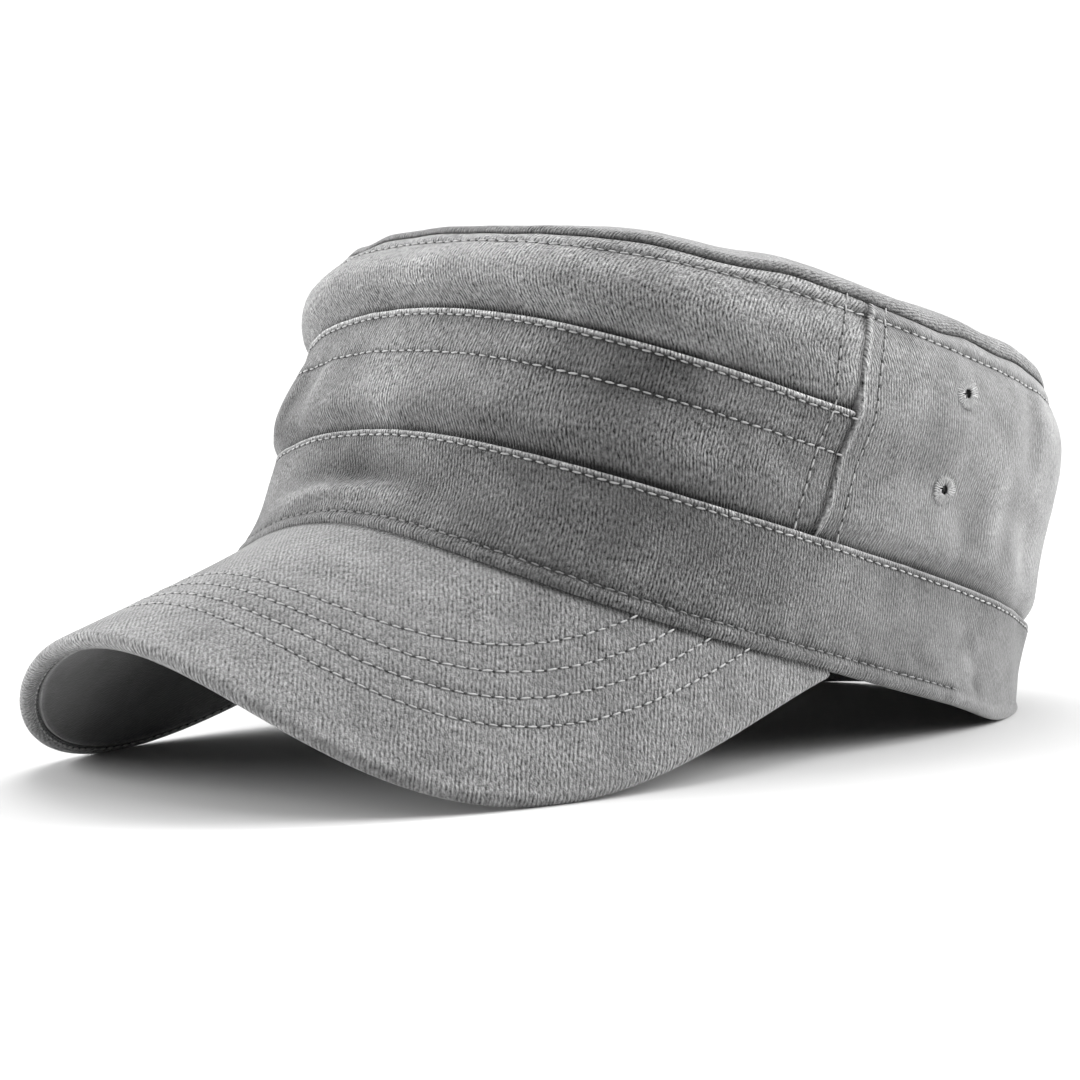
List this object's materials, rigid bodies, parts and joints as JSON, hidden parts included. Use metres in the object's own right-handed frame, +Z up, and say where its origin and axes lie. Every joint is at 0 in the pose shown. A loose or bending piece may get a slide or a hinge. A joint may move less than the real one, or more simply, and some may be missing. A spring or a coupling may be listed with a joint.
{
  "type": "patrol cap",
  "caption": "Soft cotton patrol cap with a flat oval crown, a deep lapped band, sewn air holes in its sides and a stiff curved peak.",
  "frame": {"origin": "on the surface the cap lies on, at the middle of its length and width", "axes": "+X to the wearer's left, the peak points along -Y, +Z straight up from the surface the cap lies on"},
  "size_m": [0.1762, 0.2772, 0.1258],
  "materials": {
    "twill": "washed matt cotton twill",
    "thread": "light grey sewing thread",
    "underside": "matt cotton cloth"
  },
  "bodies": {
    "root": {"crown_top": "twill", "front_upper_panel": "twill", "front_middle_panel": "twill", "back_panel": "twill", "band": "twill", "peak_cover": "twill", "peak_lining": "underside", "eyelet_left_upper": "thread", "eyelet_left_lower": "thread", "eyelet_right_upper": "thread", "eyelet_right_lower": "thread"}
  },
  "joints": []
}
